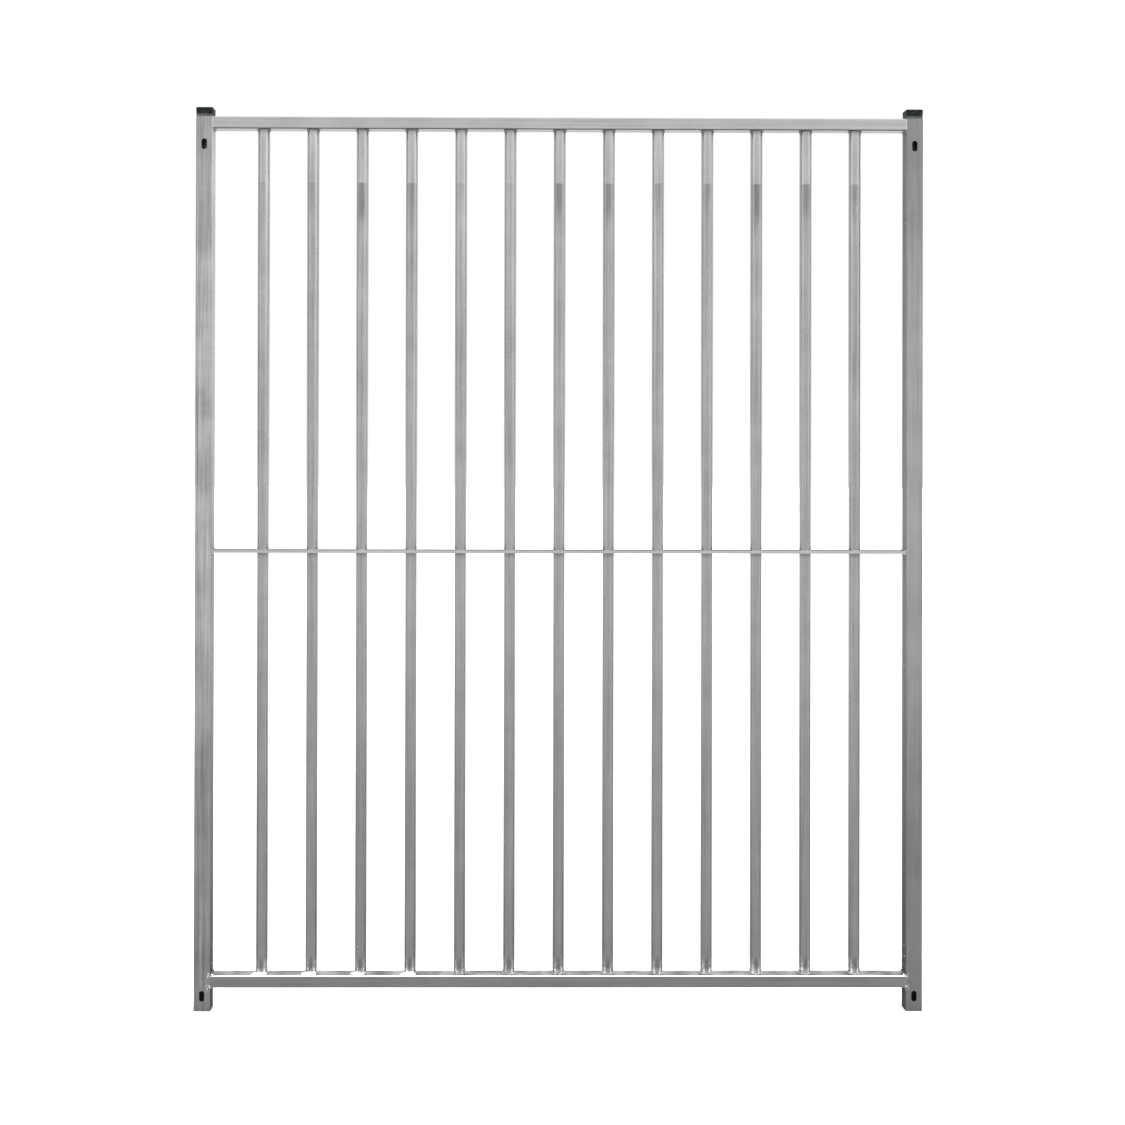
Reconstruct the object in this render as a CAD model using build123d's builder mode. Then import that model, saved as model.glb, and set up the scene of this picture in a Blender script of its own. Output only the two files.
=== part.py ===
from build123d import *
import math
import os

# A rigid welded bar panel of galvanised steel, in millimetres.
# X runs along the panel, Y through it and Z up. The front faces -Y.
# The origin is midway between the posts, midway through the depth, at ground level.

# Overall sizes
panel_width = 1500.0          # over the outer faces of the two posts
post_height = 1840.0          # a post's tube, without its cap
frame_depth = 35.0            # posts and rails share one depth, so their faces are flush

# Posts
post_width = 35.0
post_wall = 1.5
post_corner_radius = 3.0
foot_length = 48.0            # from the ground to the underside of the bottom rail

# Rails
rail_height = 25.0
rail_wall = 1.5
rail_corner_radius = 2.5
mid_rail_thickness = 6.0
mid_rail_edge_radius = 0.8

# Upright bars
bar_count = 13
bar_pitch = 102.0
bar_diameter = 25.0
bar_wall = 1.2
bar_hole_clearance = 0.5      # all round the bar, where it passes the middle rail

# Slots in the front wall of each post
slot_width = 11.0
slot_length = 22.0
foot_slot_rise = 31.0         # from the post's bottom end to the slot's centre
top_slot_drop = 57.0          # from the post's top end to the slot's centre

# Holes that let zinc and air through the closed tubes in the galvanising bath
post_vent_diameter = 12.0
bar_vent_diameter = 10.0

# Plastic caps
cap_head_height = 14.0
cap_head_taper = 2.0          # degrees, narrowing downwards
cap_edge_radius = 1.5
cap_collar_height = 5.0
cap_collar_inset = 0.8        # from the post's outer faces
cap_plug_length = 22.0
cap_plug_wall = 2.0
cap_plug_gap = 1.5            # from the plug's core to the post's inner faces
cap_rib_gap = 0.1             # from a rib's tip to the post's inner faces
cap_rib_thickness = 1.6
cap_rib_pitch = 5.0
cap_rib_count = 4

# Welds
bar_weld_leg = 2.5
mid_weld_leg = 2.0
end_weld_leg = 4.0
groove_weld_land = 0.15       # least thickness left along a groove weld's sides

# Places worked out from the sizes
post_centre_x = (panel_width - post_width) / 2
post_inner_x = panel_width / 2 - post_width
rail_length = 2 * post_inner_x
front_y = -frame_depth / 2
bottom_rail_middle_z = foot_length + rail_height / 2
bottom_rail_top_z = foot_length + rail_height
top_rail_middle_z = post_height - rail_height / 2
top_rail_bottom_z = post_height - rail_height
mid_rail_middle_z = (bottom_rail_top_z + top_rail_bottom_z) / 2
mid_rail_bottom_z = mid_rail_middle_z - mid_rail_thickness / 2
mid_rail_top_z = mid_rail_middle_z + mid_rail_thickness / 2
bar_radius = bar_diameter / 2
bar_length = top_rail_bottom_z - bottom_rail_top_z
bar_places = [(index - (bar_count - 1) / 2) * bar_pitch for index in range(bar_count)]
post_bore_width = post_width - 2 * post_wall
post_bore_depth = frame_depth - 2 * post_wall
post_bore_radius = post_corner_radius - post_wall

os.makedirs("parts", exist_ok=True)


def save(builder, name):
    """Label a finished sub-part and write it to its own file."""
    builder.part.label = name
    export_step(builder.part, f"parts/{name}.step")


# Posts: square tubes, open at both ends, each slotted twice through its front wall.
# A vent hole in the inner side wall opens into each tubular rail.
for side_name, side in (("left", -1), ("right", 1)):
    front_plane = Plane(origin=(side * post_centre_x, front_y, 0), x_dir=(1, 0, 0), z_dir=(0, -1, 0))
    inner_plane = Plane(origin=(side * post_inner_x, 0, 0), x_dir=(0, -side, 0), z_dir=(-side, 0, 0))
    with BuildPart() as post:
        with BuildSketch(Plane.XY):
            with Locations((side * post_centre_x, 0)):
                RectangleRounded(post_width, frame_depth, post_corner_radius)
                RectangleRounded(post_bore_width, post_bore_depth, post_bore_radius, mode=Mode.SUBTRACT)
        extrude(amount=post_height)
        with BuildSketch(front_plane):
            with Locations((0, foot_slot_rise), (0, post_height - top_slot_drop)):
                SlotOverall(slot_length, slot_width, rotation=90)
        extrude(amount=-2 * post_wall, mode=Mode.SUBTRACT)
        with BuildSketch(inner_plane):
            with Locations((0, bottom_rail_middle_z), (0, top_rail_middle_z)):
                Circle(post_vent_diameter / 2)
        extrude(amount=-2 * post_wall, mode=Mode.SUBTRACT)
    save(post, f"{side_name}_post")


# Tubular rails, with a vent hole into the end of every bar.
for rail_name, rail_middle_z, bar_side_z in (
    ("top_rail", top_rail_middle_z, top_rail_bottom_z),
    ("bottom_rail", bottom_rail_middle_z, bottom_rail_top_z),
):
    end_plane = Plane(origin=(-post_inner_x, 0, rail_middle_z), x_dir=(0, 1, 0), z_dir=(1, 0, 0))
    with BuildPart() as rail:
        with BuildSketch(end_plane):
            RectangleRounded(frame_depth, rail_height, rail_corner_radius)
            RectangleRounded(
                frame_depth - 2 * rail_wall,
                rail_height - 2 * rail_wall,
                rail_corner_radius - rail_wall,
                mode=Mode.SUBTRACT,
            )
        extrude(amount=rail_length)
        with BuildSketch(Plane.XY.offset(bar_side_z)):
            with Locations(*[(x, 0) for x in bar_places]):
                Circle(bar_vent_diameter / 2)
        extrude(amount=2 * rail_wall, both=True, mode=Mode.SUBTRACT)
    save(rail, rail_name)


# Middle rail: a flat bar that every upright bar passes through.
with BuildPart() as mid_rail:
    with BuildSketch(Plane.XY.offset(mid_rail_bottom_z)):
        Rectangle(rail_length, frame_depth)
    extrude(amount=mid_rail_thickness)
    fillet(mid_rail.edges().filter_by(Axis.X), radius=mid_rail_edge_radius)
    with BuildSketch(Plane.XY.offset(mid_rail_bottom_z)):
        with Locations(*[(x, 0) for x in bar_places]):
            Circle(bar_radius + bar_hole_clearance)
    extrude(amount=mid_rail_thickness, mode=Mode.SUBTRACT)
save(mid_rail, "mid_rail")


# Upright bars: round tubes that butt against the two tubular rails.
for number, bar_x in enumerate(bar_places, start=1):
    with BuildPart() as bar:
        with BuildSketch(Plane.XY.offset(bottom_rail_top_z)):
            with Locations((bar_x, 0)):
                Circle(bar_radius)
                Circle(bar_radius - bar_wall, mode=Mode.SUBTRACT)
        extrude(amount=bar_length)
    save(bar, f"bar_{number:02d}")


# Plastic caps: a tapered head over a narrower collar, and a ribbed hollow plug in the post.
for side_name, side in (("left", -1), ("right", 1)):
    centre = (side * post_centre_x, 0)
    head_bottom_z = post_height + cap_collar_height
    head_top_z = head_bottom_z + cap_head_height
    with BuildPart() as cap:
        with BuildSketch(Plane.XY.offset(head_top_z)):
            with Locations(centre):
                RectangleRounded(post_width, frame_depth, post_corner_radius)
        extrude(amount=-cap_head_height, taper=cap_head_taper)
        fillet(cap.faces().sort_by(Axis.Z)[-1].edges(), radius=cap_edge_radius)
        with BuildSketch(Plane.XY.offset(post_height)):
            with Locations(centre):
                RectangleRounded(
                    post_width - 2 * cap_collar_inset,
                    frame_depth - 2 * cap_collar_inset,
                    post_corner_radius - cap_collar_inset,
                )
        extrude(amount=cap_collar_height)
        with BuildSketch(Plane.XY.offset(post_height)):
            with Locations(centre):
                Rectangle(post_bore_width - 2 * cap_plug_gap, post_bore_depth - 2 * cap_plug_gap)
        extrude(amount=-cap_plug_length)
        for rib in range(1, cap_rib_count + 1):
            with BuildSketch(Plane.XY.offset(post_height - rib * cap_rib_pitch)):
                with Locations(centre):
                    RectangleRounded(
                        post_bore_width - 2 * cap_rib_gap,
                        post_bore_depth - 2 * cap_rib_gap,
                        post_bore_radius,
                    )
            extrude(amount=cap_rib_thickness)
        with BuildSketch(Plane.XY.offset(post_height - cap_plug_length)):
            with Locations(centre):
                Rectangle(
                    post_bore_width - 2 * (cap_plug_gap + cap_plug_wall),
                    post_bore_depth - 2 * (cap_plug_gap + cap_plug_wall),
                )
        extrude(amount=cap_plug_length, mode=Mode.SUBTRACT)
    save(cap, f"{side_name}_cap")


# Fillet welds round every bar, as rings of triangular section: (node, height, up or down, leg).
for weld_name, seat_z, upward, leg in (
    ("top_rail_bar_welds", top_rail_bottom_z, -1, bar_weld_leg),
    ("mid_rail_bar_welds", mid_rail_top_z, 1, mid_weld_leg),
    ("bottom_rail_bar_welds", bottom_rail_top_z, 1, bar_weld_leg),
):
    with BuildPart() as bar_welds:
        for bar_x in bar_places:
            with BuildSketch(Plane.XZ):
                with BuildLine():
                    Polyline(
                        (bar_x + bar_radius, seat_z),
                        (bar_x + bar_radius + leg, seat_z),
                        (bar_x + bar_radius, seat_z + upward * leg),
                        close=True,
                    )
                make_face()
            revolve(axis=Axis((bar_x, 0, 0), (0, 0, 1)), revolution_arc=360)
    save(bar_welds, weld_name)


# Welds at the rails' ends. A fillet runs through the depth wherever a rail's top or underside
# meets a post, and a groove weld fills the hollow that the post's rounded corner leaves beside
# a tubular rail, flush with the front and back: (node, seats of fillets, groove's low and high z).
groove_side = post_corner_radius - math.sqrt(
    2 * post_corner_radius * groove_weld_land - groove_weld_land**2
)
fillet_run = frame_depth - 2 * post_corner_radius
for weld_name, seats, groove_span in (
    (
        "top_rail_end_welds",
        ((top_rail_bottom_z, -1),),
        (top_rail_bottom_z + rail_corner_radius, post_height - rail_corner_radius),
    ),
    (
        "mid_rail_end_welds",
        ((mid_rail_top_z, 1), (mid_rail_bottom_z, -1)),
        None,
    ),
    (
        "bottom_rail_end_welds",
        ((bottom_rail_top_z, 1), (foot_length, -1)),
        (foot_length + rail_corner_radius, bottom_rail_top_z - rail_corner_radius),
    ),
):
    with BuildPart() as end_welds:
        with BuildSketch(Plane.XZ.offset(-fillet_run / 2)):
            for side in (-1, 1):
                for seat_z, upward in seats:
                    with BuildLine():
                        Polyline(
                            (side * post_inner_x, seat_z),
                            (side * (post_inner_x - end_weld_leg), seat_z),
                            (side * post_inner_x, seat_z + upward * end_weld_leg),
                            close=True,
                        )
                    make_face()
        extrude(amount=fillet_run)
        if groove_span:
            with BuildSketch(Plane.XY.offset(groove_span[0])):
                for side in (-1, 1):
                    for face in (-1, 1):
                        with Locations(
                            (
                                side * (post_inner_x + groove_side / 2),
                                face * (frame_depth - groove_side) / 2,
                            )
                        ):
                            Rectangle(groove_side, groove_side)
                        with Locations(
                            (
                                side * (post_inner_x + post_corner_radius),
                                face * (frame_depth / 2 - post_corner_radius),
                            )
                        ):
                            Circle(post_corner_radius, mode=Mode.SUBTRACT)
            extrude(amount=groove_span[1] - groove_span[0])
    save(end_welds, weld_name)
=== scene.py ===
"""Looks of a galvanised bar panel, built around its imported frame. Metres, Z up, the front faces -Y."""

import logging
import math
from dataclasses import dataclass
from enum import Enum
from random import Random

import bmesh
import bpy
from mathutils import Matrix, Vector


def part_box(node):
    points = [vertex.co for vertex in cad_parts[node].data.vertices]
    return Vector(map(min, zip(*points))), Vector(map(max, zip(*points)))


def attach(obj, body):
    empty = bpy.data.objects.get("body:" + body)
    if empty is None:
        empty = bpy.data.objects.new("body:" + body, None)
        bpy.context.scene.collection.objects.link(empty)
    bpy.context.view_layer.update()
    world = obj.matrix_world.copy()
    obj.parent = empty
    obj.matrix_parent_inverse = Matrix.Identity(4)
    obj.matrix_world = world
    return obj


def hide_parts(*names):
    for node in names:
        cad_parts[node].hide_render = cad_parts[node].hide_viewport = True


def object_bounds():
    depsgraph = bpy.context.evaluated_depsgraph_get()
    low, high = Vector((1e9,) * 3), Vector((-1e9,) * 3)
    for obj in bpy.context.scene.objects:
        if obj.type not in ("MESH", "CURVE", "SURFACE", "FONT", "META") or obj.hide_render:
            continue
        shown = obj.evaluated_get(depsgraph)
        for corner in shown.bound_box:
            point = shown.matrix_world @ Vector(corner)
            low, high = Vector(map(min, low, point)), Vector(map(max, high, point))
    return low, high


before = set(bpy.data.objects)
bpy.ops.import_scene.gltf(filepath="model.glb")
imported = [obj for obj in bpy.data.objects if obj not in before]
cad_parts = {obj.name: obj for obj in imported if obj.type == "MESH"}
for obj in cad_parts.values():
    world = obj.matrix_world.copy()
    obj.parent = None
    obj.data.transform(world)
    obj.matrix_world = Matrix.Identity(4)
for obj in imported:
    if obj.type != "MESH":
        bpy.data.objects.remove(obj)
CAD_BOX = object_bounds()
BODY = "root"
MM = 0.001
RAIL_CORNER = 2.5 * MM
CAP_COLLAR = 5 * MM
DRAIN_DROP = 108.5 * MM
LUMP_LIFT = 3 * MM
SPLASHED_BARS = (0, 1, 2, 3)
BALL_FINENESS = 2

Colour = tuple[float, float, float]
Range = tuple[float, float]  # a low and a high end, or what becomes of them
Step = tuple[float, float]  # the middle of a step, and its softness
Socket = bpy.types.NodeSocket
Material = bpy.types.Material
Mesh = bpy.types.Mesh

logging.basicConfig(level=logging.INFO, format="%(name)s: %(message)s")
log = logging.getLogger("panel")


class Run(Enum):
    """The axis that a piece of tube or bar lies along."""

    ALONG_X = 0
    ALONG_Z = 2


# ---------------------------------------------------------------- shader maths


class Value:
    """One number socket, whose arithmetic adds Math nodes."""

    def __init__(self, shader: "Shader", socket: Socket) -> None:
        """Wrap a socket.

        Args:
            shader: The shader that the socket's node belongs to.
            socket: The output socket.
        """
        self.shader = shader
        self.socket = socket

    def _math(self, operation: str, first: object, second: object) -> "Value":
        """Add one Math node, which doesn't clamp, and return its result."""
        node = self.shader.node("ShaderNodeMath", {"operation": operation}, {0: first, 1: second})
        return Value(self.shader, node.outputs[0])

    def __add__(self, other: object) -> "Value":
        """Return self + other."""
        return self._math("ADD", self, other)

    def __radd__(self, other: object) -> "Value":
        """Return other + self."""
        return self._math("ADD", other, self)

    def __sub__(self, other: object) -> "Value":
        """Return self - other."""
        return self._math("SUBTRACT", self, other)

    def __rsub__(self, other: object) -> "Value":
        """Return other - self."""
        return self._math("SUBTRACT", other, self)

    def __mul__(self, other: object) -> "Value":
        """Return self * other."""
        return self._math("MULTIPLY", self, other)

    def __rmul__(self, other: object) -> "Value":
        """Return other * self."""
        return self._math("MULTIPLY", other, self)

    def rounded(self) -> "Value":
        """Return the nearest whole number."""
        return self._math("ROUND", self, 0.0)

    def size(self) -> "Value":
        """Return the number without its sign."""
        return self._math("ABSOLUTE", self, 0.0)

    def above(self, edge: float, softness: float) -> "Value":
        """Return 0 well under an edge and 1 well over it, with a smooth step between.

        Args:
            edge: Where the step is halfway.
            softness: Half the width of the step.

        Returns:
            The step's value.
        """
        return self.spread(edge - softness, edge + softness, 0.0, 1.0, smooth=True)

    def spread(self, low: float, high: float, to_low: float, to_high: float, smooth: bool = False) -> "Value":
        """Map a range onto another, clamped at both ends.

        Args:
            low: The value that becomes to_low.
            high: The value that becomes to_high.
            to_low: The result at low.
            to_high: The result at high.
            smooth: Whether to ease in and out.

        Returns:
            The mapped value.
        """
        kind = "SMOOTHSTEP" if smooth else "LINEAR"
        node = self.shader.node(
            "ShaderNodeMapRange",
            {"interpolation_type": kind},
            {0: self, 1: low, 2: high, 3: to_low, 4: to_high},
        )
        return Value(self.shader, node.outputs[0])


class Shader:
    """A node tree under construction."""

    def __init__(self, tree: bpy.types.NodeTree) -> None:
        """Empty a node tree and start building in it.

        Args:
            tree: The node tree of a material or a world.
        """
        self.tree = tree
        self.tree.nodes.clear()

    def node(self, kind: str, settings: dict | None = None, sockets: dict | None = None) -> bpy.types.Node:
        """Add a node, apply its settings, then fill its sockets.

        Args:
            kind: The node's type name.
            settings: Attributes to set, such as a Math node's operation.
            sockets: Socket names or indices, each with a constant, a Value or an output socket.

        Returns:
            The new node.
        """
        node = self.tree.nodes.new(kind)
        for name, setting in (settings or {}).items():
            setattr(node, name, setting)
        for name, given in (sockets or {}).items():
            target = node.inputs[name]
            if isinstance(given, Value):
                self.tree.links.new(given.socket, target)
            elif isinstance(given, Socket):
                self.tree.links.new(given, target)
            else:
                target.default_value = given
        return node

    def object_point(self) -> Socket:
        """Return the Object coordinates, which are metres in the panel's frame."""
        return self.node("ShaderNodeTexCoord").outputs["Object"]

    def object_normal(self) -> Socket:
        """Return the surface's direction in the panel's frame."""
        return self.node("ShaderNodeTexCoord").outputs["Normal"]

    def joined(self, across: object, through: object, up: object) -> Socket:
        """Return a vector made of three numbers."""
        return self.node("ShaderNodeCombineXYZ", {}, {0: across, 1: through, 2: up}).outputs[0]

    def scaled(self, point: Socket, scale: tuple, move: tuple = (0, 0, 0)) -> Socket:
        """Scale a point along each axis, then move it.

        Args:
            point: The point.
            scale: A factor for each axis.
            move: What to add after scaling.

        Returns:
            The new point.
        """
        node = self.node("ShaderNodeMapping", {}, {"Vector": point, "Location": move, "Scale": scale})
        return node.outputs["Vector"]

    def axes(self, point: Socket) -> tuple[Value, Value, Value]:
        """Split a vector into its three numbers."""
        node = self.node("ShaderNodeSeparateXYZ", {}, {"Vector": point})
        return tuple(Value(self, output) for output in node.outputs)

    def noise(self, point: Socket, scale: float, detail: float = 3.0, rough: float = 0.5) -> Value:
        """Return smooth noise, mostly between 0.3 and 0.7.

        Args:
            point: Where to read the noise.
            scale: Lumps per metre of the point's space.
            detail: Octaves.
            rough: How strong the finer octaves are.

        Returns:
            The noise.
        """
        node = self.node(
            "ShaderNodeTexNoise", {}, {"Vector": point, "Scale": scale, "Detail": detail, "Roughness": rough}
        )
        return Value(self, node.outputs["Fac"])

    def crystals(self, point: Socket, scale: float) -> Value:
        """Return one flat random number for each cell of a crystal-like pattern.

        Args:
            point: Where to read the pattern.
            scale: Cells per metre.

        Returns:
            The cell's number, from 0 to 1.
        """
        node = self.node("ShaderNodeTexVoronoi", {}, {"Vector": point, "Scale": scale})
        grey = self.node("ShaderNodeSeparateColor", {}, {0: node.outputs["Color"]})
        return Value(self, grey.outputs[0])

    def blend(self, factor: Value, first: object, second: object) -> Socket:
        """Mix two colours.

        Args:
            factor: 0 for the first and 1 for the second.
            first: A colour or a colour socket.
            second: A colour or a colour socket.

        Returns:
            The mixed colour.
        """
        given = [(*c, 1.0) if isinstance(c, tuple) else c for c in (first, second)]
        node = self.node("ShaderNodeMix", {"data_type": "RGBA"}, {0: factor, 6: given[0], 7: given[1]})
        return node.outputs[2]

    def bump(self, height: Value, depth: float) -> Socket:
        """Return a normal shaken by a height.

        Args:
            height: The height, 0 to 1.
            depth: The metres that a height of 1 stands for.

        Returns:
            The normal.
        """
        node = self.node("ShaderNodeBump", {}, {"Height": height, "Distance": depth, "Strength": 1.0})
        return node.outputs["Normal"]

    def surface(self, constants: dict, varying: dict) -> None:
        """End a material in one Principled shader.

        Args:
            constants: Socket names and values that are the same all over.
            varying: Socket names and what changes over the surface.
        """
        shader = self.node("ShaderNodeBsdfPrincipled", {}, {**constants, **varying})
        self.node("ShaderNodeOutputMaterial", {}, {"Surface": shader.outputs[0]})


def new_material(name: str) -> tuple[Material, Shader]:
    """Make an empty node material.

    Args:
        name: The material's name.

    Returns:
        The material, and a Shader on its tree.
    """
    material = bpy.data.materials.new(name)
    material.use_nodes = True
    return material, Shader(material.node_tree)


# -------------------------------------------------------------------- finishes

# By how much of its direction a face counts as looking one way.
LOOKS_UP: Step = (0.85, 0.10)
LOOKS_STRAIGHT: Step = (0.90, 0.08)
LOOKS_OUT: Step = (0.50, 0.20)

# Two directions multiplied, which gives 0.5 halfway round a rounded edge and 0 on the flats beside it.
UPPER_EDGE: Range = (0.24, 0.48)
LOWER_EDGE: Range = (0.12, 0.36)


def grey(level: float) -> Colour:
    """Return a neutral colour of one level."""
    return (level, level, level)


class Spot:
    """The point being shaded: its place on the panel in metres, and the way that its surface faces."""

    def __init__(self, shader: Shader) -> None:
        """Read the place and the direction.

        Args:
            shader: The shader that uses them.
        """
        self.shader = shader
        self.point = shader.object_point()
        self.across, _, self.up = shader.axes(self.point)
        self.facing_across, self.facing_through, self.facing_up = shader.axes(shader.object_normal())


@dataclass(frozen=True)
class Recipe:
    """How strongly each layer of the zinc's pattern counts in a mix, and what is added to their sum."""

    broad: float = 0.0
    narrow: float = 0.0
    cloud: float = 0.0
    crystals: float = 0.0
    offset: float = 0.0

    def mixed(self, layers: dict[str, Value]) -> Value:
        """Return the sum of the layers, each times its strength."""
        return sum((layer * getattr(self, name) for name, layer in layers.items()), self.offset)


ZINC_TONE = Recipe(broad=1.2, narrow=1.0, cloud=0.9, crystals=0.06, offset=-1.08)
ZINC_GLOSS = Recipe(narrow=0.5, cloud=0.7, offset=-0.1)
ZINC_HEIGHT = Recipe(broad=0.5, narrow=0.3, cloud=0.5)


@dataclass(frozen=True)
class GalvanisedTube:
    """Dull hot-dip zinc on drawn tube, with soft streaks that run along it, painted shade towards the foot,
    and painted light or shade on chosen faces and edges.

    Widths, lengths, heights and the relief are metres. The rest are levels of grey, shares and counts.
    """

    name: str
    run: Run
    dark: float = 0.27
    light: float = 0.40
    darkest: float = 0.012
    brightest: float = 0.86
    smooth: float = 0.34
    rough: float = 0.44
    # How much smoother the surface is where it is painted brighter.
    smoother_where_brightened: float = 0.12
    edge_tint: float = 0.45
    streak_width: float = 5 * MM
    streak_length: float = 0.40
    narrow_streaks: float = 2.6
    clouds_per_metre: float = 12.0
    crystals_per_metre: float = 80.0
    patches_per_metre: float = 26.0
    relief: float = 0.05 * MM
    # Painted shade: how much darker the lowest parts are made, fading out between two heights.
    foot_painted_shade: float = 0.38
    foot_heights: Range = (0.25, 0.98)
    head_dulling: float = 0.0
    head_heights: Range = (1.35, 1.75)
    # Painted shade on faces that look up.
    top_painted_shade: float = 0.0
    # Painted shade on the lower edges and the underside.
    under_painted_shade: float = 0.0
    # Painted highlight along the upper edges.
    edge_painted_highlight: float = 0.0
    # Painted light on faces that look straight up, broken into patches.
    top_painted_light: float = 0.0
    # Painted light on faces that look to the front or back.
    front_painted_light: float = 0.0
    seed: float = 0.0

    def material(self) -> Material:
        """Build the finish.

        Returns:
            The material.
        """
        material, shader = new_material(self.name)
        spot = Spot(shader)
        layers = {
            "broad": shader.noise(self._drawn(spot, 1.0), 1.0, 2.0),
            "narrow": shader.noise(self._drawn(spot, self.narrow_streaks), 1.0, 2.0),
            "cloud": shader.noise(spot.point, self.clouds_per_metre, 3.0, 0.55),
            "crystals": shader.crystals(spot.point, self.crystals_per_metre),
        }
        tone = ZINC_TONE.mixed(layers).spread(0.0, 1.0, 0.0, 1.0)
        bright = self._brightening(spot)
        tint = shader.blend(tone, grey(self.dark), grey(self.light))
        tint = shader.blend(self._darkening(spot), tint, grey(self.darkest))
        gloss = ZINC_GLOSS.mixed(layers).spread(0.2, 0.8, self.smooth, self.rough)
        shader.surface(
            {"Specular IOR Level": 0.0, "Specular Tint": (*grey(self.edge_tint), 1.0)},
            {
                "Base Color": shader.blend(bright, tint, grey(self.brightest)),
                "Metallic": self._metal(spot),
                "Roughness": gloss - bright * self.smoother_where_brightened,
                "Normal": shader.bump(ZINC_HEIGHT.mixed(layers), self.relief),
            },
        )
        return material

    def _drawn(self, spot: Spot, finer: float) -> Socket:
        """Squeeze a point across the tube, so that noise there becomes streaks along it.

        Args:
            spot: The point being shaded.
            finer: How much finer than the broad streaks they are.

        Returns:
            The squeezed point.
        """
        scale = [finer / self.streak_width] * 3
        scale[self.run.value] = finer / self.streak_length
        return spot.shader.scaled(spot.point, tuple(scale), (self.seed, 2.0 * self.seed, 0.5))

    def _darkening(self, spot: Spot) -> Value:
        """Darken the foot with painted shade and darken the head, and where asked paint shade on the top face
        and the lower edges.

        Args:
            spot: The point being shaded.

        Returns:
            How much darker the surface is painted than the zinc at its best.
        """
        # Painted shade: darker towards the bottom.
        fade = spot.up.spread(*self.foot_heights, self.foot_painted_shade, 0.0, smooth=True)
        # Painted shade on faces that look up.
        if self.top_painted_shade:
            fade = fade + spot.facing_up.above(*LOOKS_UP) * self.top_painted_shade
        # Painted shade on the lower edges and the underside.
        if self.under_painted_shade:
            under_edge = spot.facing_through.size() * (0.0 - spot.facing_up)
            fade = fade + under_edge.spread(*LOWER_EDGE, 0.0, self.under_painted_shade, smooth=True)
        return fade + spot.up.spread(*self.head_heights, 0.0, self.head_dulling, smooth=True)

    def _brightening(self, spot: Spot) -> Value:
        """Paint a highlight on the upper edges along a rail, and paint light on its top and its front.

        Args:
            spot: The point being shaded.

        Returns:
            How much brighter the zinc is painted.
        """
        upper_edge = spot.facing_through.size() * spot.facing_up
        # Painted highlight along the upper rounded edges.
        edges = upper_edge.spread(*UPPER_EDGE, 0.0, self.edge_painted_highlight, smooth=True)
        # Painted light on the top face, broken into patches.
        patches = spot.shader.noise(spot.point, self.patches_per_metre, 2.0).spread(0.36, 0.64, 0.35, 1.5)
        top = spot.facing_up.above(*LOOKS_STRAIGHT) * patches * self.top_painted_light
        # Painted light on faces that look to the front or back.
        return edges + top + spot.facing_through.size().above(*LOOKS_STRAIGHT) * self.front_painted_light

    def _metal(self, spot: Spot) -> Value | float:
        """Return how metallic the surface is."""
        return 1.0


@dataclass(frozen=True)
class GalvanisedPost(GalvanisedTube):
    """The zinc on a post, with painted shade on its inner face further down, painted light high on that face,
    and weld specks on its front.
    """

    inner_x: float = 0.7
    inward: Range = (0.25, 0.6)
    # Painted shade on the inner face: it is made less metallic and darker further down.
    inner_low: float = 0.3
    inner_metal_fade_heights: Range = (0.2, 1.65)
    inner_painted_shade: float = 0.8
    inner_shade_heights: Range = (0.1, 1.5)
    inner_painted_light: float = 0.0
    inner_light_heights: Range = (0.9, 1.75)
    weld_heights: tuple[float, ...] = ()
    specks_per_metre: float = 260.0
    speck_threshold: Step = (0.60, 0.04)
    speck_brightness: float = 0.42
    speck_offset: float = 4 * MM
    speck_across: Range = (1.5 * MM, 5 * MM)
    speck_rise: Range = (3 * MM, 7 * MM)

    def _inner(self, spot: Spot) -> Value:
        """Return 1 on the face towards the panel's middle, and 0 elsewhere."""
        return (0.0 - spot.facing_across * spot.across).spread(*self.inward, 0.0, 1.0, smooth=True)

    def _metal(self, spot: Spot) -> Value:
        """Return how metallic the surface is, less so low on the inner face, so that its painted shade shows.
        """
        return 1.0 - self._inner(spot) * spot.up.spread(*self.inner_metal_fade_heights, 1.0 - self.inner_low, 0.0)

    def _darkening(self, spot: Spot) -> Value:
        """Paint shade on the inner face by heights of its own, and darken the rest as on any tube.

        Args:
            spot: The point being shaded.

        Returns:
            How much darker the surface is painted than the zinc at its best.
        """
        inner = self._inner(spot)
        rest = super()._darkening(spot) * (1.0 - inner)
        # Painted shade on the inner face, darker further down.
        return rest + inner * spot.up.spread(*self.inner_shade_heights, self.inner_painted_shade, 0.0)

    def _brightening(self, spot: Spot) -> Value:
        """Leave bright weld specks on the front by the rails' corners, and paint light on the inner face high
        up.

        Args:
            spot: The point being shaded.

        Returns:
            How much brighter the zinc is.
        """
        off_corner = (spot.across.size() - (self.inner_x + self.speck_offset)).size()
        specks = spot.shader.noise(spot.point, self.specks_per_metre, 1.0).above(*self.speck_threshold)
        specks = off_corner.spread(*self.speck_across, 1.0, 0.0) * specks
        specks = specks * spot.facing_through.size().above(*LOOKS_OUT)
        near = 0.0
        for height in self.weld_heights:
            near = near + (spot.up - height).size().spread(*self.speck_rise, 1.0, 0.0)
        # Painted light on the inner face high up.
        pale = self._inner(spot) * spot.up.spread(*self.inner_light_heights, 0.0, self.inner_painted_light)
        return specks * near * self.speck_brightness + pale


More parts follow.
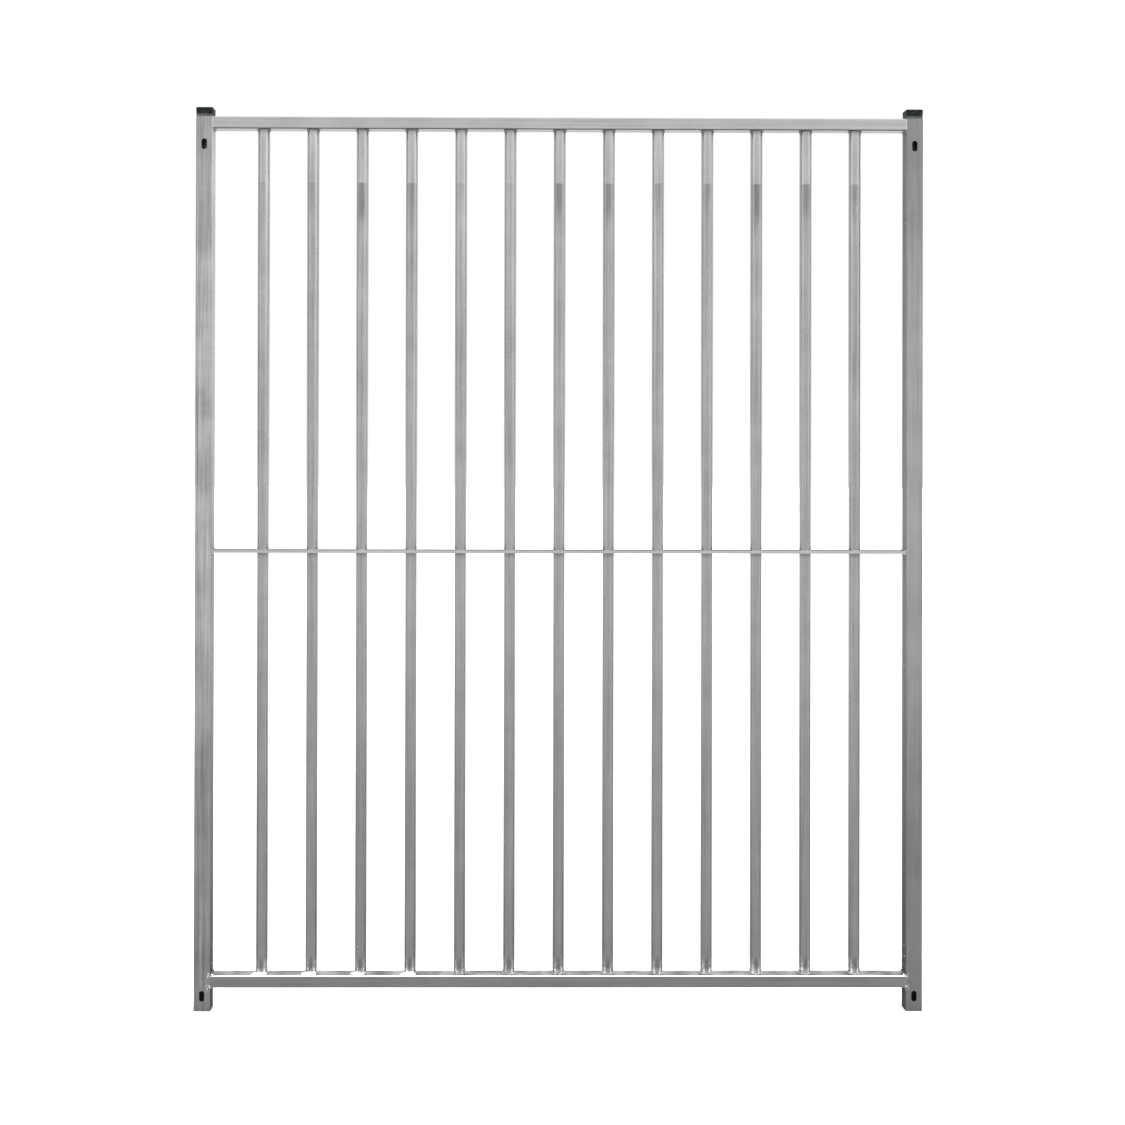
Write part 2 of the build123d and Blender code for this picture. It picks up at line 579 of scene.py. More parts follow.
@dataclass(frozen=True)
class GalvanisedBar(GalvanisedTube):
    """The zinc on a round bar, with the dark runs that the bath leaves, painted shade under the rails, a dark
    patch over the foot, and painted light on its sides and foot.
    """

    pitch: float = 0.1
    foot: float = 0.0
    sides: Range = (0.45, 0.85)
    side_painted_light: Range = (0.02, 0.13)
    side_light_heights: Range = (0.2, 1.2)
    # Painted shade: the heights of the rails' faces, under which the bars are darkened.
    shaded_ends: tuple[float, ...] = ()
    shade_start: float = 0.5 * MM
    shade_reach: float = 11 * MM
    end_painted_shade: float = 0.42
    patch_dulling: float = 0.20
    patch_from: Range = (7 * MM, 16 * MM)
    patch_to: Range = (26 * MM, 42 * MM)
    off_middle: Range = (2 * MM, 8 * MM)
    # Painted sheen and glints at the foot of each bar.
    gleam: float = 0.34
    gleam_rise: Range = (5 * MM, 38 * MM)
    glint: Range = (0.1, 0.6)
    glint_rise: Range = (6 * MM, 17 * MM)
    glint_side: Range = (4 * MM, 8 * MM)
    foot_specks_per_metre: float = 190.0
    drain_height: float = 1.7
    drain_start: float = 4 * MM
    drain_length: float = 0.12
    drain_wander: float = 0.08
    drain_softness: float = 0.05
    drain_shift: float = 1.5 * MM
    drain_sway: float = 8 * MM
    drain_width: Range = (3 * MM, 13 * MM)
    drain_strength: Range = (0.16, 0.42)
    drain_waves: tuple[float, float, float] = (5.1, 14.0, 120.0)
    faint_drain: float = 0.15
    faint_reach: Range = (0.05, 0.35)
    luck_step: float = 3.7

    def _middle(self, spot: Spot) -> tuple[Value, Value]:
        """Return the bar's number, and how far left or right of its axis a point is."""
        number = (spot.across * (1.0 / self.pitch)).rounded()
        return number, spot.across - number * self.pitch

    def _darkening(self, spot: Spot) -> Value:
        """Add the runs, painted shade under the rails and a dark patch over the foot.

        Args:
            spot: The point being shaded.

        Returns:
            How much darker the surface is painted than the zinc at its best.
        """
        fade = super()._darkening(spot) + self._drains(spot)
        # Painted shade just under each rail.
        for end in self.shaded_ends:
            under = end - spot.up
            begun = under.spread(-self.shade_start, 0.0, 0.0, 1.0)
            fade = fade + begun * under.spread(0.0, self.shade_reach, self.end_painted_shade, 0.0)
        _, off = self._middle(spot)
        rise = spot.up - self.foot
        patch = rise.spread(*self.patch_from, 0.0, 1.0, smooth=True)
        patch = patch * rise.spread(*self.patch_to, 1.0, 0.0, smooth=True)
        return fade + patch * off.size().spread(*self.off_middle, self.patch_dulling, 0.0, smooth=True)

    def _brightening(self, spot: Spot) -> Value:
        """Paint highlights on the bar's sides, and a painted sheen and glints on its foot.

        Args:
            spot: The point being shaded.

        Returns:
            How much brighter the zinc is.
        """
        _, off = self._middle(spot)
        # Painted highlights on the bar's sides, stronger higher up.
        sides = spot.facing_across.size().spread(*self.sides, 0.0, 1.0, smooth=True)
        sides = sides * spot.up.spread(*self.side_light_heights, *self.side_painted_light)
        speck = spot.shader.noise(spot.point, self.foot_specks_per_metre, 2.0).spread(0.38, 0.62, 0.25, 1.0)
        rise = spot.up - self.foot
        # Painted sheen on both sides of the foot and painted glints at its lower corners, broken into specks.
        gleam = rise.spread(*self.gleam_rise, 1.0, 0.0)
        gleam = gleam * off.size().spread(*self.off_middle, 0.0, self.gleam, smooth=True)
        glint = rise.spread(*self.glint_rise, 1.0, 0.0, smooth=True)
        glint = glint * off.size().spread(*self.glint_side, *self.glint)
        return sides + (gleam + glint) * speck

    def _drains(self, spot: Spot) -> Value:
        """Draw the dark runs that start at one height on each bar and die away under it.

        Args:
            spot: The point being shaded.

        Returns:
            How dark the runs are.
        """
        shader = spot.shader
        number, off = self._middle(spot)
        per_bar, per_metre_up, per_metre_across = self.drain_waves
        wavy = shader.joined(number * per_bar, spot.up * per_metre_up, spot.across * per_metre_across)
        wander = shader.noise(wavy, 1.0, 2.0) - 0.5
        luck = shader.noise(shader.joined(number * self.luck_step, self.seed, 0.0), 1.0, 0.0)
        below = self.drain_height - spot.up
        start = below.spread(0.0, self.drain_start, 0.0, 1.0, smooth=True)
        past_end = below - luck * self.drain_length + wander * self.drain_wander
        strong = 1.0 - past_end.spread(-self.drain_softness, self.drain_softness, 0.0, 1.0, smooth=True)
        faint = (1.0 - below.spread(*self.faint_reach, 0.0, 1.0)) * self.faint_drain
        aside = (off + self.drain_shift + wander * self.drain_sway).size()
        narrow = 1.0 - aside.spread(*self.drain_width, 0.0, 1.0, smooth=True)
        return start * (strong + faint) * narrow * luck.spread(0.35, 0.65, *self.drain_strength)


@dataclass(frozen=True)
class WeldZinc:
    """Lumpy zinc over a weld bead."""

    name: str
    dark: float = 0.34
    light: float = 0.80
    smooth: float = 0.24
    rough: float = 0.42
    relief: float = 0.30 * MM
    edge_tint: float = 0.8
    lumps_per_metre: float = 320.0
    patches_per_metre: float = 70.0
    pits_per_metre: float = 1400.0

    def material(self) -> Material:
        """Build the finish.

        Returns:
            The material.
        """
        material, shader = new_material(self.name)
        point = shader.object_point()
        lumps = shader.noise(point, self.lumps_per_metre, 3.0, 0.6)
        patches = shader.noise(point, self.patches_per_metre, 2.0)
        pits = shader.noise(point, self.pits_per_metre, 2.0)
        tone = (patches * 0.9 + lumps * 0.7 - 0.3).spread(0.2, 0.8, 0.0, 1.0)
        shader.surface(
            {"Metallic": 1.0, "Specular Tint": (*grey(self.edge_tint), 1.0)},
            {
                "Base Color": shader.blend(tone, grey(self.dark), grey(self.light)),
                "Roughness": lumps.spread(0.3, 0.7, self.smooth, self.rough),
                "Normal": shader.bump(lumps * 0.8 + pits * 0.15, self.relief),
            },
        )
        return material


@dataclass(frozen=True)
class MouldedPlastic:
    """Fine-grained black plastic, with a pale band at its foot where it meets the zinc."""

    name: str
    body: Colour = (0.0042, 0.0055, 0.0052)
    pale_band: Colour = (0.045, 0.048, 0.048)
    smooth: float = 0.36
    rough: float = 0.66
    relief: float = 0.05 * MM
    grains_per_metre: float = 2600.0
    mottles_per_metre: float = 120.0
    dust_threshold: Step = (0.56, 0.1)
    dust_strength: float = 0.18
    band_strength: float = 0.85
    band_top: float = 0.0
    band_drop: float = 1 * MM
    band_wander: float = 2 * MM
    band_softness: float = 1.2 * MM

    def material(self) -> Material:
        """Build the finish.

        Returns:
            The material.
        """
        material, shader = new_material(self.name)
        point = shader.object_point()
        _, _, up = shader.axes(point)
        grain = shader.noise(point, self.grains_per_metre, 2.0)
        mottle = shader.noise(point, self.mottles_per_metre, 3.0)
        band_edge = self.band_top - self.band_drop
        band = 1.0 - (up - mottle * self.band_wander).above(band_edge, self.band_softness)
        dust = mottle.above(*self.dust_threshold) * self.dust_strength + band * self.band_strength
        gloss = grain * 0.25 + mottle * 0.3 + band * 0.1
        shader.surface(
            {"Metallic": 0.0, "IOR": 1.45, "Specular IOR Level": 0.045},
            {
                "Base Color": shader.blend(dust.spread(0.0, 1.0, 0.0, 1.0), self.body, self.pale_band),
                "Roughness": gloss.spread(0.0, 1.0, self.smooth, self.rough),
                "Normal": shader.bump(grain * 0.6 + mottle * 0.4, self.relief),
            },
        )
        return material


@dataclass(frozen=True)
class PaleFloor:
    """A plain, pale, matt studio floor."""

    name: str
    tint: Colour = (0.68, 0.68, 0.68)

    def material(self) -> Material:
        """Build the finish.

        Returns:
            The material.
        """
        material, shader = new_material(self.name)
        shader.surface({"Base Color": (*self.tint, 1.0), "Roughness": 0.9, "Specular IOR Level": 0.1}, {})
        return material


# ------------------------------------------------------------------ mesh tools


@dataclass(frozen=True)
class Blob:
    """One rounded lump of zinc or weld metal."""

    centre: Vector
    radii: Vector
    turn: float = 0.0

    def place(self) -> Matrix:
        """Return the matrix that makes a unit ball into this lump."""
        size = Matrix.Diagonal((*self.radii, 1.0))
        return Matrix.Translation(self.centre) @ Matrix.Rotation(self.turn, 4, "Z") @ size


def ball_mesh(name: str, blobs: list[Blob]) -> Mesh:
    """Make a mesh of separate rounded lumps.

    Args:
        name: The mesh's name.
        blobs: The lumps.

    Returns:
        The mesh.
    """
    shape = bmesh.new()
    for blob in blobs:
        bmesh.ops.create_icosphere(shape, subdivisions=BALL_FINENESS, radius=1.0, matrix=blob.place())
    mesh = bpy.data.meshes.new(name)
    shape.to_mesh(mesh)
    shape.free()
    return mesh


def flowed_together(name: str, blobs: list[Blob], voxel: float, passes: int, half_depth: float) -> Mesh:
    """Merge overlapping lumps into one skin, let it flow smooth, and flatten what stands proud of the frame.

    Args:
        name: The mesh's name.
        blobs: The lumps.
        voxel: The size of the skin's faces.
        passes: Rounds of smoothing.
        half_depth: Half the frame's depth.

    Returns:
        The merged mesh.
    """
    rough = bpy.data.objects.new(name + "_rough", ball_mesh(name + "_rough", blobs))
    bpy.context.scene.collection.objects.link(rough)
    remesh = rough.modifiers.new("skin", "REMESH")
    remesh.mode = "VOXEL"
    remesh.voxel_size = voxel
    depsgraph = bpy.context.evaluated_depsgraph_get()
    mesh = bpy.data.meshes.new_from_object(rough.evaluated_get(depsgraph))
    bpy.data.objects.remove(rough)
    mesh.name = name
    shape = bmesh.new()
    shape.from_mesh(mesh)
    for _ in range(passes):
        bmesh.ops.smooth_vert(
            shape, verts=shape.verts, factor=0.5, use_axis_x=True, use_axis_y=True, use_axis_z=True
        )
    for corner in shape.verts:
        corner.co.y = max(-half_depth, min(half_depth, corner.co.y))
    shape.to_mesh(mesh)
    shape.free()
    return mesh


def add_piece(name: str, mesh: Mesh, finish: Material) -> bpy.types.Object:
    """Show a finished mesh of zinc as a piece that rides on the panel.

    Args:
        name: The piece's name.
        mesh: Its mesh, in place.
        finish: Its material.

    Returns:
        The new object.
    """
    mesh.materials.clear()
    mesh.materials.append(finish)
    mesh.polygons.foreach_set("use_smooth", [True] * len(mesh.polygons))
    piece = bpy.data.objects.new(name, mesh)
    bpy.context.scene.collection.objects.link(piece)
    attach(piece, BODY)
    log.info("%s: %d faces", name, len(mesh.polygons))
    return piece


def dress_node(name: str, finish: Material) -> None:
    """Give a frame node its finish.

    Args:
        name: The node.
        finish: The material.
    """
    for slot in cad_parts[name].material_slots:
        slot.material = finish
    log.info("%s: dressed in %s", name, finish.name)


# ---------------------------------------------------------------- sub-assemblies


@dataclass
class Tubework:
    """The posts, rails and bars, which keep their frame meshes and get their finishes."""

    bars: list[str]
    posts: tuple[str, ...] = ("left_post", "right_post")
    rails: tuple[str, ...] = ("top_rail", "bottom_rail")
    flat: str = "mid_rail"

    def dress(self) -> None:
        """Dress every tube and bar."""
        for name, finish in zip(self.posts, self._post_finishes()):
            dress_node(name, finish.material())
        top = GalvanisedTube(
            # Painted shade on the rail's lower edges.
            "zinc_on_top_rail", Run.ALONG_X, dark=0.14, light=0.20, edge_tint=0.8, under_painted_shade=0.75,
            seed=4.1,
        )
        bottom = GalvanisedTube(
            # Painted shade towards the foot, a painted highlight on the upper edges and painted light on the
            # top face.
            "zinc_on_bottom_rail", Run.ALONG_X, dark=0.21, light=0.31, foot_painted_shade=0.65, edge_painted_highlight=0.85,
            top_painted_light=0.22, seed=5.2,
        )
        for name, finish in zip(self.rails, (top, bottom)):
            dress_node(name, finish.material())
        strip = GalvanisedTube(
            # Painted shade on the top face and painted light on the front.
            "zinc_on_flat_bar", Run.ALONG_X, dark=0.13, light=0.18, top_painted_shade=0.30, front_painted_light=0.08,
            seed=7.7,
        )
        dress_node(self.flat, strip.material())
        round_bar = self._bar_finish().material()
        for name in self.bars:
            dress_node(name, round_bar)

    def _post_finishes(self) -> tuple[GalvanisedPost, GalvanisedPost]:
        """Settle the posts' finishes, which share all but their tones and their inner faces.

        Returns:
            The left post's finish and the right post's.
        """
        foot_low, foot_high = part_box("bottom_rail")
        flat_low, flat_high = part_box(self.flat)
        common = {
            "smooth": 0.38,
            "rough": 0.48,
            # Painted shade towards the foot.
            "foot_painted_shade": 0.44,
            "foot_heights": (0.25, 1.0),
            "inner_x": flat_high.x,
            "weld_heights": (foot_low.z, foot_high.z, flat_low.z),
        }
        left = GalvanisedPost(
            "zinc_on_left_post", Run.ALONG_Z, dark=0.095, light=0.25, edge_tint=1.0, inner_low=0.05,
            # Painted light high on the left post's inner face.
            inner_painted_light=0.24, streak_width=6 * MM, head_dulling=0.16, seed=1.3, **common,
        )
        right = GalvanisedPost(
            "zinc_on_right_post", Run.ALONG_Z, dark=0.115, light=0.18, edge_tint=0.62, inner_low=0.02,
            head_dulling=0.34, seed=3.9, **common,
        )
        return left, right

    def _bar_finish(self) -> GalvanisedBar:
        """Settle the bars' finish, which takes the bars' pitch and ends from the frame.

        Returns:
            The finish.
        """
        low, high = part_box(self.bars[0])
        return GalvanisedBar(
            "zinc_on_bars",
            Run.ALONG_Z,
            dark=0.136,
            light=0.216,
            smooth=0.24,
            rough=0.34,
            edge_tint=1.0,
            # Painted shade towards the foot.
            foot_painted_shade=0.40,
            foot_heights=(0.25, 1.25),
            pitch=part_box(self.bars[1])[0].x - low.x,
            foot=low.z,
            # Painted shade just under the top rail and the flat bar.
            shaded_ends=(high.z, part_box(self.flat)[0].z),
            drain_height=high.z - DRAIN_DROP,
            seed=9.2,
        )


@dataclass(frozen=True)
class Bead:
    """The size of a weld bead round a bar's end, and 1 if it lies over the rail's face or -1 if under."""

    width: float
    height: float
    upward: int


@dataclass
class BarBeads:
    """The weld beads round the bars' ends, a group for each rail, and the zinc that has spread from them."""

    bar_radius: float
    bar_places: list[float]
    half_depth: float
    voxel: float = 0.6 * MM
    smoothings: int = 2
    coins: int = 24
    coin_jitter: float = 0.3
    coin_drift: float = 0.12
    coin_lift: float = 0.05
    coin_widths: Range = (0.85, 1.0)
    coin_heights: Range = (0.85, 1.1)
    splash_smoothings: int = 3
    splash_lumps: int = 60
    splash_reach: Range = (6 * MM, 9 * MM)
    splash_right: float = 0.75
    splash_shoulder: float = 0.7
    splash_thinning: float = 0.55
    splash_sinking: float = 0.6
    splash_widths: Range = (2 * MM, 3.6 * MM)
    splash_heights: Range = (3 * MM, 8.5 * MM)
    splash_stretch: float = 1.2
    splash_behind: float = 2 * MM
    splash_under: float = 1 * MM
    splash_margin: float = 0.4 * MM

    def build_rings(self, name: str, node: str, seat: float, bead: Bead, finish: Material) -> None:
        """Make one rail's group of beads.

        Args:
            name: The piece's name.
            node: The frame node that it replaces.
            seat: The height of the rail's face.
            bead: The bead's size.
            finish: Its material.
        """
        rng = Random(name)
        blobs = []
        for place in self.bar_places:
            blobs += self._ring(rng, place, seat, bead)
        mesh = flowed_together(name, blobs, self.voxel, self.smoothings, self.half_depth)
        piece = add_piece(name, mesh, finish)
        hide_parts(node)

    def build_splashes(self, name: str, seat: float, splashed: tuple[int, ...], finish: Material) -> None:
        """Make the bright zinc that stands on a rail by some bars.

        Args:
            name: The piece's name.
            seat: The height of the rail's face.
            splashed: The numbers of the bars whose zinc has spread over the rail.
            finish: Its material.
        """
        rng = Random(name)
        blobs = []
        for number in splashed:
            blobs += self._splash(rng, self.bar_places[number], seat)
        mesh = flowed_together(name, blobs, self.voxel, self.splash_smoothings, self.half_depth)
        add_piece(name, mesh, finish)

    def _ring(self, rng: Random, place: float, seat: float, bead: Bead) -> list[Blob]:
        """Lay a ring of overlapping lumps, like a row of coins.

        Args:
            rng: The source of unevenness.
            place: The bar's place along the panel.
            seat: The height of the rail's face.
            bead: The bead's size.

        Returns:
            The lumps.
        """
        blobs = []
        low = seat + bead.upward * bead.height * self.coin_lift
        for step in range(self.coins):
            angle = 2 * math.pi * (step + self.coin_jitter * rng.random()) / self.coins
            out = self.bar_radius + bead.width * rng.uniform(0.0, self.coin_drift)
            centre = Vector((place + out * math.cos(angle), out * math.sin(angle), low))
            width = bead.width * rng.uniform(*self.coin_widths)
            height = bead.height * rng.uniform(*self.coin_heights)
            blobs.append(Blob(centre, Vector((width, width, height)), angle))
        return blobs

    def _splash(self, rng: Random, place: float, seat: float) -> list[Blob]:
        """Heap zinc in front of a bar and to its left, thinner and lower further out.

        Args:
            rng: The source of unevenness.
            place: The bar's place along the panel.
            seat: The height of the rail's face.

        Returns:
            The lumps.
        """
        blobs = []
        reach = self.bar_radius + rng.uniform(*self.splash_reach)
        shoulder = self.bar_radius * self.splash_shoulder
        for _ in range(self.splash_lumps):
            across = rng.uniform(-reach, self.bar_radius * self.splash_right)
            thinning = 1.0 - self.splash_thinning * max(0.0, (-across - shoulder) / (reach - shoulder))
            beside = across < -self.bar_radius
            back = -self.splash_behind if beside else self.splash_under - self.bar_radius
            width = rng.uniform(*self.splash_widths) * thinning
            depth = rng.uniform(-self.half_depth + width + self.splash_margin, back)
            tall = rng.uniform(*self.splash_heights) * thinning * (self.splash_sinking if beside else 1.0)
            radii = Vector((width * self.splash_stretch, width, tall))
            blobs.append(Blob(Vector((place + across, depth, seat)), radii))
        return blobs


@dataclass
class EndBeads:
    """The weld beads where the rails' ends meet the posts."""

    inner_x: float
    half_depth: float
    voxel: float = 0.55 * MM
    smoothings: int = 2
    through_coins: int = 17
    through_gap: float = 1.2 * MM
    through_thickness: float = 1.8 * MM
    through_sizes: Range = (0.7, 1.0)
    into_corner: float = 0.5 * MM
    seam_coins: int = 16
    seam_radii: Range = (1.8 * MM, 2.1 * MM)
    seam_stretch: float = 1.1
    seam_thickness: float = 1.6 * MM
    over_post: float = 0.7 * MM
    lumps: int = 4
    lump_smoothings: int = 1
    lump_radii: Range = (1 * MM, 1.8 * MM)
    lump_inward: Range = (-2.2 * MM, 6 * MM)
    lump_rise: float = 2.5 * MM
    lump_sinking: float = 0.9
    lump_heights: Range = (0.8, 1.3)

    def build_seams(
        self, name: str, node: str, size: float, corners: list, seams: list, finish: Material
    ) -> None:
        """Make one rail's end beads.

        Args:
            name: The piece's name.
            node: The frame node that it replaces.
            size: The beads' greatest radius.
            corners: Heights at which a bead runs through the depth, each with 1 above or -1 under a face.
            seams: Low and high z of the flush welds up the front and back, if any.
            finish: The material.
        """
        rng = Random(name)
        blobs = []
        for side in (-1, 1):
            for height, upward in corners:
                blobs += self._through(rng, side, height, upward, size)
            for low, high in seams:
                blobs += self._seam(rng, side, low, high)
        mesh = flowed_together(name, blobs, self.voxel, self.smoothings, self.half_depth)
        piece = add_piece(name, mesh, finish)
        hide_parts(node)

    def build_lumps(self, name: str, heights: tuple[float, ...], finish: Material) -> None:
        """Make the bright lumps by the front corners.

        Args:
            name: The piece's name.
            heights: The corners' heights.
            finish: The material.
        """
        rng = Random(name)
        blobs = []
        for corner in [(side, height) for side in (-1, 1) for height in heights]:
            blobs += [self._lump(rng, *corner) for _ in range(self.lumps)]
        mesh = flowed_together(name, blobs, self.voxel, self.lump_smoothings, self.half_depth)
        add_piece(name, mesh, finish)

    def _lump(self, rng: Random, side: int, height: float) -> Blob:
        """Drop one lump near a front corner.

        Args:
            rng: The source of unevenness.
            side: -1 by the left post and 1 by the right.
            height: The corner's height.

        Returns:
            The lump.
        """
        size = rng.uniform(*self.lump_radii)
        place = side * (self.inner_x - rng.uniform(*self.lump_inward))
        up = height + rng.uniform(-self.lump_rise, self.lump_rise)
        centre = Vector((place, -self.half_depth + size * self.lump_sinking, up))
        return Blob(centre, Vector((size, size, size * rng.uniform(*self.lump_heights))))

    def _through(self, rng: Random, side: int, height: float, upward: int, size: float) -> list[Blob]:
        """Lay a bead from front to back in the corner under or over a rail.

        Args:
            rng: The source of unevenness.
            side: -1 by the left post and 1 by the right.
            height: The height of the rail's face.
            upward: 1 over the face and -1 under it.
            size: The bead's greatest radius.

        Returns:
            The lumps.
        """
        blobs = []
        reach = self.half_depth - self.through_gap
        place = side * (self.inner_x - self.into_corner)
        for step in range(self.through_coins):
            depth = -reach + 2 * reach * step / (self.through_coins - 1)
            radius = size * rng.uniform(*self.through_sizes)
            centre = Vector((place, depth, height + upward * self.into_corner))
            blobs.append(Blob(centre, Vector((radius, self.through_thickness, radius))))
        return blobs

    def _seam(self, rng: Random, side: int, low: float, high: float) -> list[Blob]:
        """Fill the hollow beside a rail's end, front and back, almost flush.

        Args:
            rng: The source of unevenness.
            side: -1 by the left post and 1 by the right.
            low: The seam's lower end.
            high: The seam's upper end.

        Returns:
            The lumps.
        """
        blobs = []
        place = side * (self.inner_x + self.over_post)
        for face, step in [(face, step) for face in (-1, 1) for step in range(self.seam_coins)]:
            height = low + (high - low) * step / (self.seam_coins - 1)
            radius = rng.uniform(*self.seam_radii)
            centre = Vector((place, face * (self.half_depth - radius), height))
            blobs.append(Blob(centre, Vector((radius * self.seam_stretch, radius, self.seam_thickness))))
        return blobs


@dataclass
class ZincSpatter:
    """Small beads of zinc and weld spatter on the bars and on the posts' inner faces."""

    bar_radius: float
    bar_places: list[float]
    inner_x: float
    finish: Material
    seed: int = 21
    per_bar: int = 5
    bar_sizes: Range = (0.25 * MM, 0.6 * MM)
    bar_rise: Range = (8 * MM, 60 * MM)
    bar_flatness: float = 0.6
    bar_lengths: Range = (1.0, 2.4)
    per_post: int = 14
    post_sizes: Range = (0.4 * MM, 0.9 * MM)
    post_rise: Range = (4 * MM, 70 * MM)
    post_depths: Range = (-13 * MM, 12 * MM)
    post_flatness: float = 0.7
    post_lengths: Range = (1.0, 1.8)
    low_share: float = 0.6

    def build(self, foot: float, head: float) -> None:
        """Scatter the beads.

        Args:
            foot: The height of the bars' lower ends.
            head: The height of their upper ends.
        """
        rng = Random(self.seed)
        blobs = []
        for place in self.bar_places:
            blobs += [self._on_bar(rng, place, foot, head) for _ in range(self.per_bar)]
        for side in (-1, 1):
            blobs += [self._on_post(rng, side, foot, head) for _ in range(self.per_post)]
        add_piece("zinc_spatter", ball_mesh("zinc_spatter", blobs), self.finish)

    def _on_bar(self, rng: Random, place: float, foot: float, head: float) -> Blob:
        """Drop one bead on a bar, as likely close to its foot as anywhere.

        Args:
            rng: The source of chance.
            place: The bar's place along the panel.
            foot: The height of the bar's lower end.
            head: The height of its upper end.

        Returns:
            The bead.
        """
        angle = rng.uniform(0, 2 * math.pi)
        size = rng.uniform(*self.bar_sizes)
        height = rng.choice((foot + rng.uniform(*self.bar_rise), rng.uniform(foot, head)))
        across, through = self.bar_radius * math.cos(angle), self.bar_radius * math.sin(angle)
        radii = Vector((size * self.bar_flatness, size, size * rng.uniform(*self.bar_lengths)))
        return Blob(Vector((place + across, through, height)), radii, angle)

    def _on_post(self, rng: Random, side: int, foot: float, head: float) -> Blob:
        """Drop one bead on a post's inner face, more likely low down.

        Args:
            rng: The source of chance.
            side: -1 on the left post and 1 on the right.
            foot: The height of the bars' lower ends.
            head: The height of their upper ends.

        Returns:
            The bead.
        """
        size = rng.uniform(*self.post_sizes)
        low = rng.random() < self.low_share
        height = foot + rng.uniform(*self.post_rise) if low else rng.uniform(foot, head)
        centre = Vector((side * self.inner_x, rng.uniform(*self.post_depths), height))
        radii = Vector((size * self.post_flatness, size, size * rng.uniform(*self.post_lengths)))
        return Blob(centre, radii)


# ------------------------------------------------------------------------ studio


@dataclass
class Studio:
    """The floor, the soft light and the camera.

    Lengths are metres and turns are degrees. The sky's ranges are sines of angles above the horizon or
    away from straight ahead.
    """

    floor_half: float = 30.0
    eye_height: float = 1.197
    eye_distance: float = 3.30
    eye_x: float = -0.110
    yaw: float = 0.407
    pitch: float = 0.259
    roll: float = 0.125
    lens: float = 51.28
    sensor: float = 36.0
    shift_right: float = 0.04
    shift_up: float = -0.125
    lamp_place: tuple[float, float, float] = (2.6, -3.4, 4.2)
    lamp_size: Range = (2.4, 1.6)
    lamp_power: float = 30.0
    around: float = 1.03
    front: float = 0.12
    front_range: Range = (0.0, 0.6)
    upper_front: float = 2.4
    upper_start: Range = (0.075, 0.19)
    upper_end: Range = (0.24, 0.40)
    upper_left_over: float = 0.35
    upper_sides: Range = (-0.35, 0.5)
    overhead: float = 2.5
    overhead_range: Range = (0.22, 0.72)
    right_side: float = 0.80
    left_side: float = 0.36
    side_range: Range = (0.42, 0.82)

    def build(self) -> None:
        """Make the whole set."""
        self._floor()
        self._sky()
        self._lamp()
        self._camera()
        bpy.context.scene.view_settings.view_transform = "Standard"

    def _floor(self) -> None:
        """Lay the floor at the level of the panel's feet."""
        shape = bmesh.new()
        bmesh.ops.create_grid(shape, x_segments=1, y_segments=1, size=self.floor_half)
        mesh = bpy.data.meshes.new("floor")
        shape.to_mesh(mesh)
        shape.free()
        mesh.materials.append(PaleFloor("pale_floor").material())
        floor = bpy.data.objects.new("floor", mesh)
        bpy.context.scene.collection.objects.link(floor)

    def _sky(self) -> None:
        """Surround the set with white light, stronger high up, towards the front and at the sides."""
        world = bpy.data.worlds.new("studio")
        world.use_nodes = True
        bpy.context.scene.world = world
        shader = Shader(world.node_tree)
        direction = shader.node("ShaderNodeTexCoord").outputs["Generated"]
        across, through, up = shader.axes(direction)
        ahead = 0.0 - through
        front = ahead.spread(*self.front_range, 0.0, self.front, smooth=True)
        upper = up.spread(*self.upper_start, 0.0, self.upper_front, smooth=True)
        upper = upper * up.spread(*self.upper_end, 1.0, self.upper_left_over)
        upper = upper * ahead.spread(*self.upper_sides, 0.0, 1.0, smooth=True)
        zenith = up.spread(*self.overhead_range, 0.0, self.overhead, smooth=True)
        right = across.spread(*self.side_range, 0.0, self.right_side, smooth=True)
        left = (0.0 - across).spread(*self.side_range, 0.0, self.left_side, smooth=True)
        light = self.around + front + upper + zenith + right + left
        background = shader.node("ShaderNodeBackground", {}, {"Color": (1, 1, 1, 1), "Strength": light})
        shader.node("ShaderNodeOutputWorld", {}, {"Surface": background.outputs[0]})

    def _lamp(self) -> None:
        """Hang one rectangular soft lamp that faces the middle of the panel."""
        light = bpy.data.lights.new("soft_box", "AREA")
        light.shape = "RECTANGLE"
        light.size, light.size_y = self.lamp_size
        light.energy = self.lamp_power
        lamp = bpy.data.objects.new("soft_box", light)
        lamp.location = self.lamp_place
        middle = (CAD_BOX[0] + CAD_BOX[1]) / 2
        lamp.rotation_euler = (middle - Vector(self.lamp_place)).to_track_quat("-Z", "Y").to_euler()
        bpy.context.scene.collection.objects.link(lamp)

    def _camera(self) -> None:
        """Stand the camera almost level in front of the panel."""
        data = bpy.data.cameras.new("camera")
        data.sensor_width = self.sensor
        data.lens = self.lens
        data.shift_x = self.shift_right
        data.shift_y = self.shift_up
        camera = bpy.data.objects.new("camera", data)
        camera.location = (self.eye_x, CAD_BOX[0].y - self.eye_distance, self.eye_height)
        turn = Matrix.Rotation(math.radians(-self.yaw), 3, "Z")
        turn = turn @ Matrix.Rotation(math.radians(90 + self.pitch), 3, "X")
        turn = turn @ Matrix.Rotation(math.radians(self.roll), 3, "Z")
        camera.rotation_euler = turn.to_euler()
        bpy.context.scene.collection.objects.link(camera)
        bpy.context.scene.camera = camera


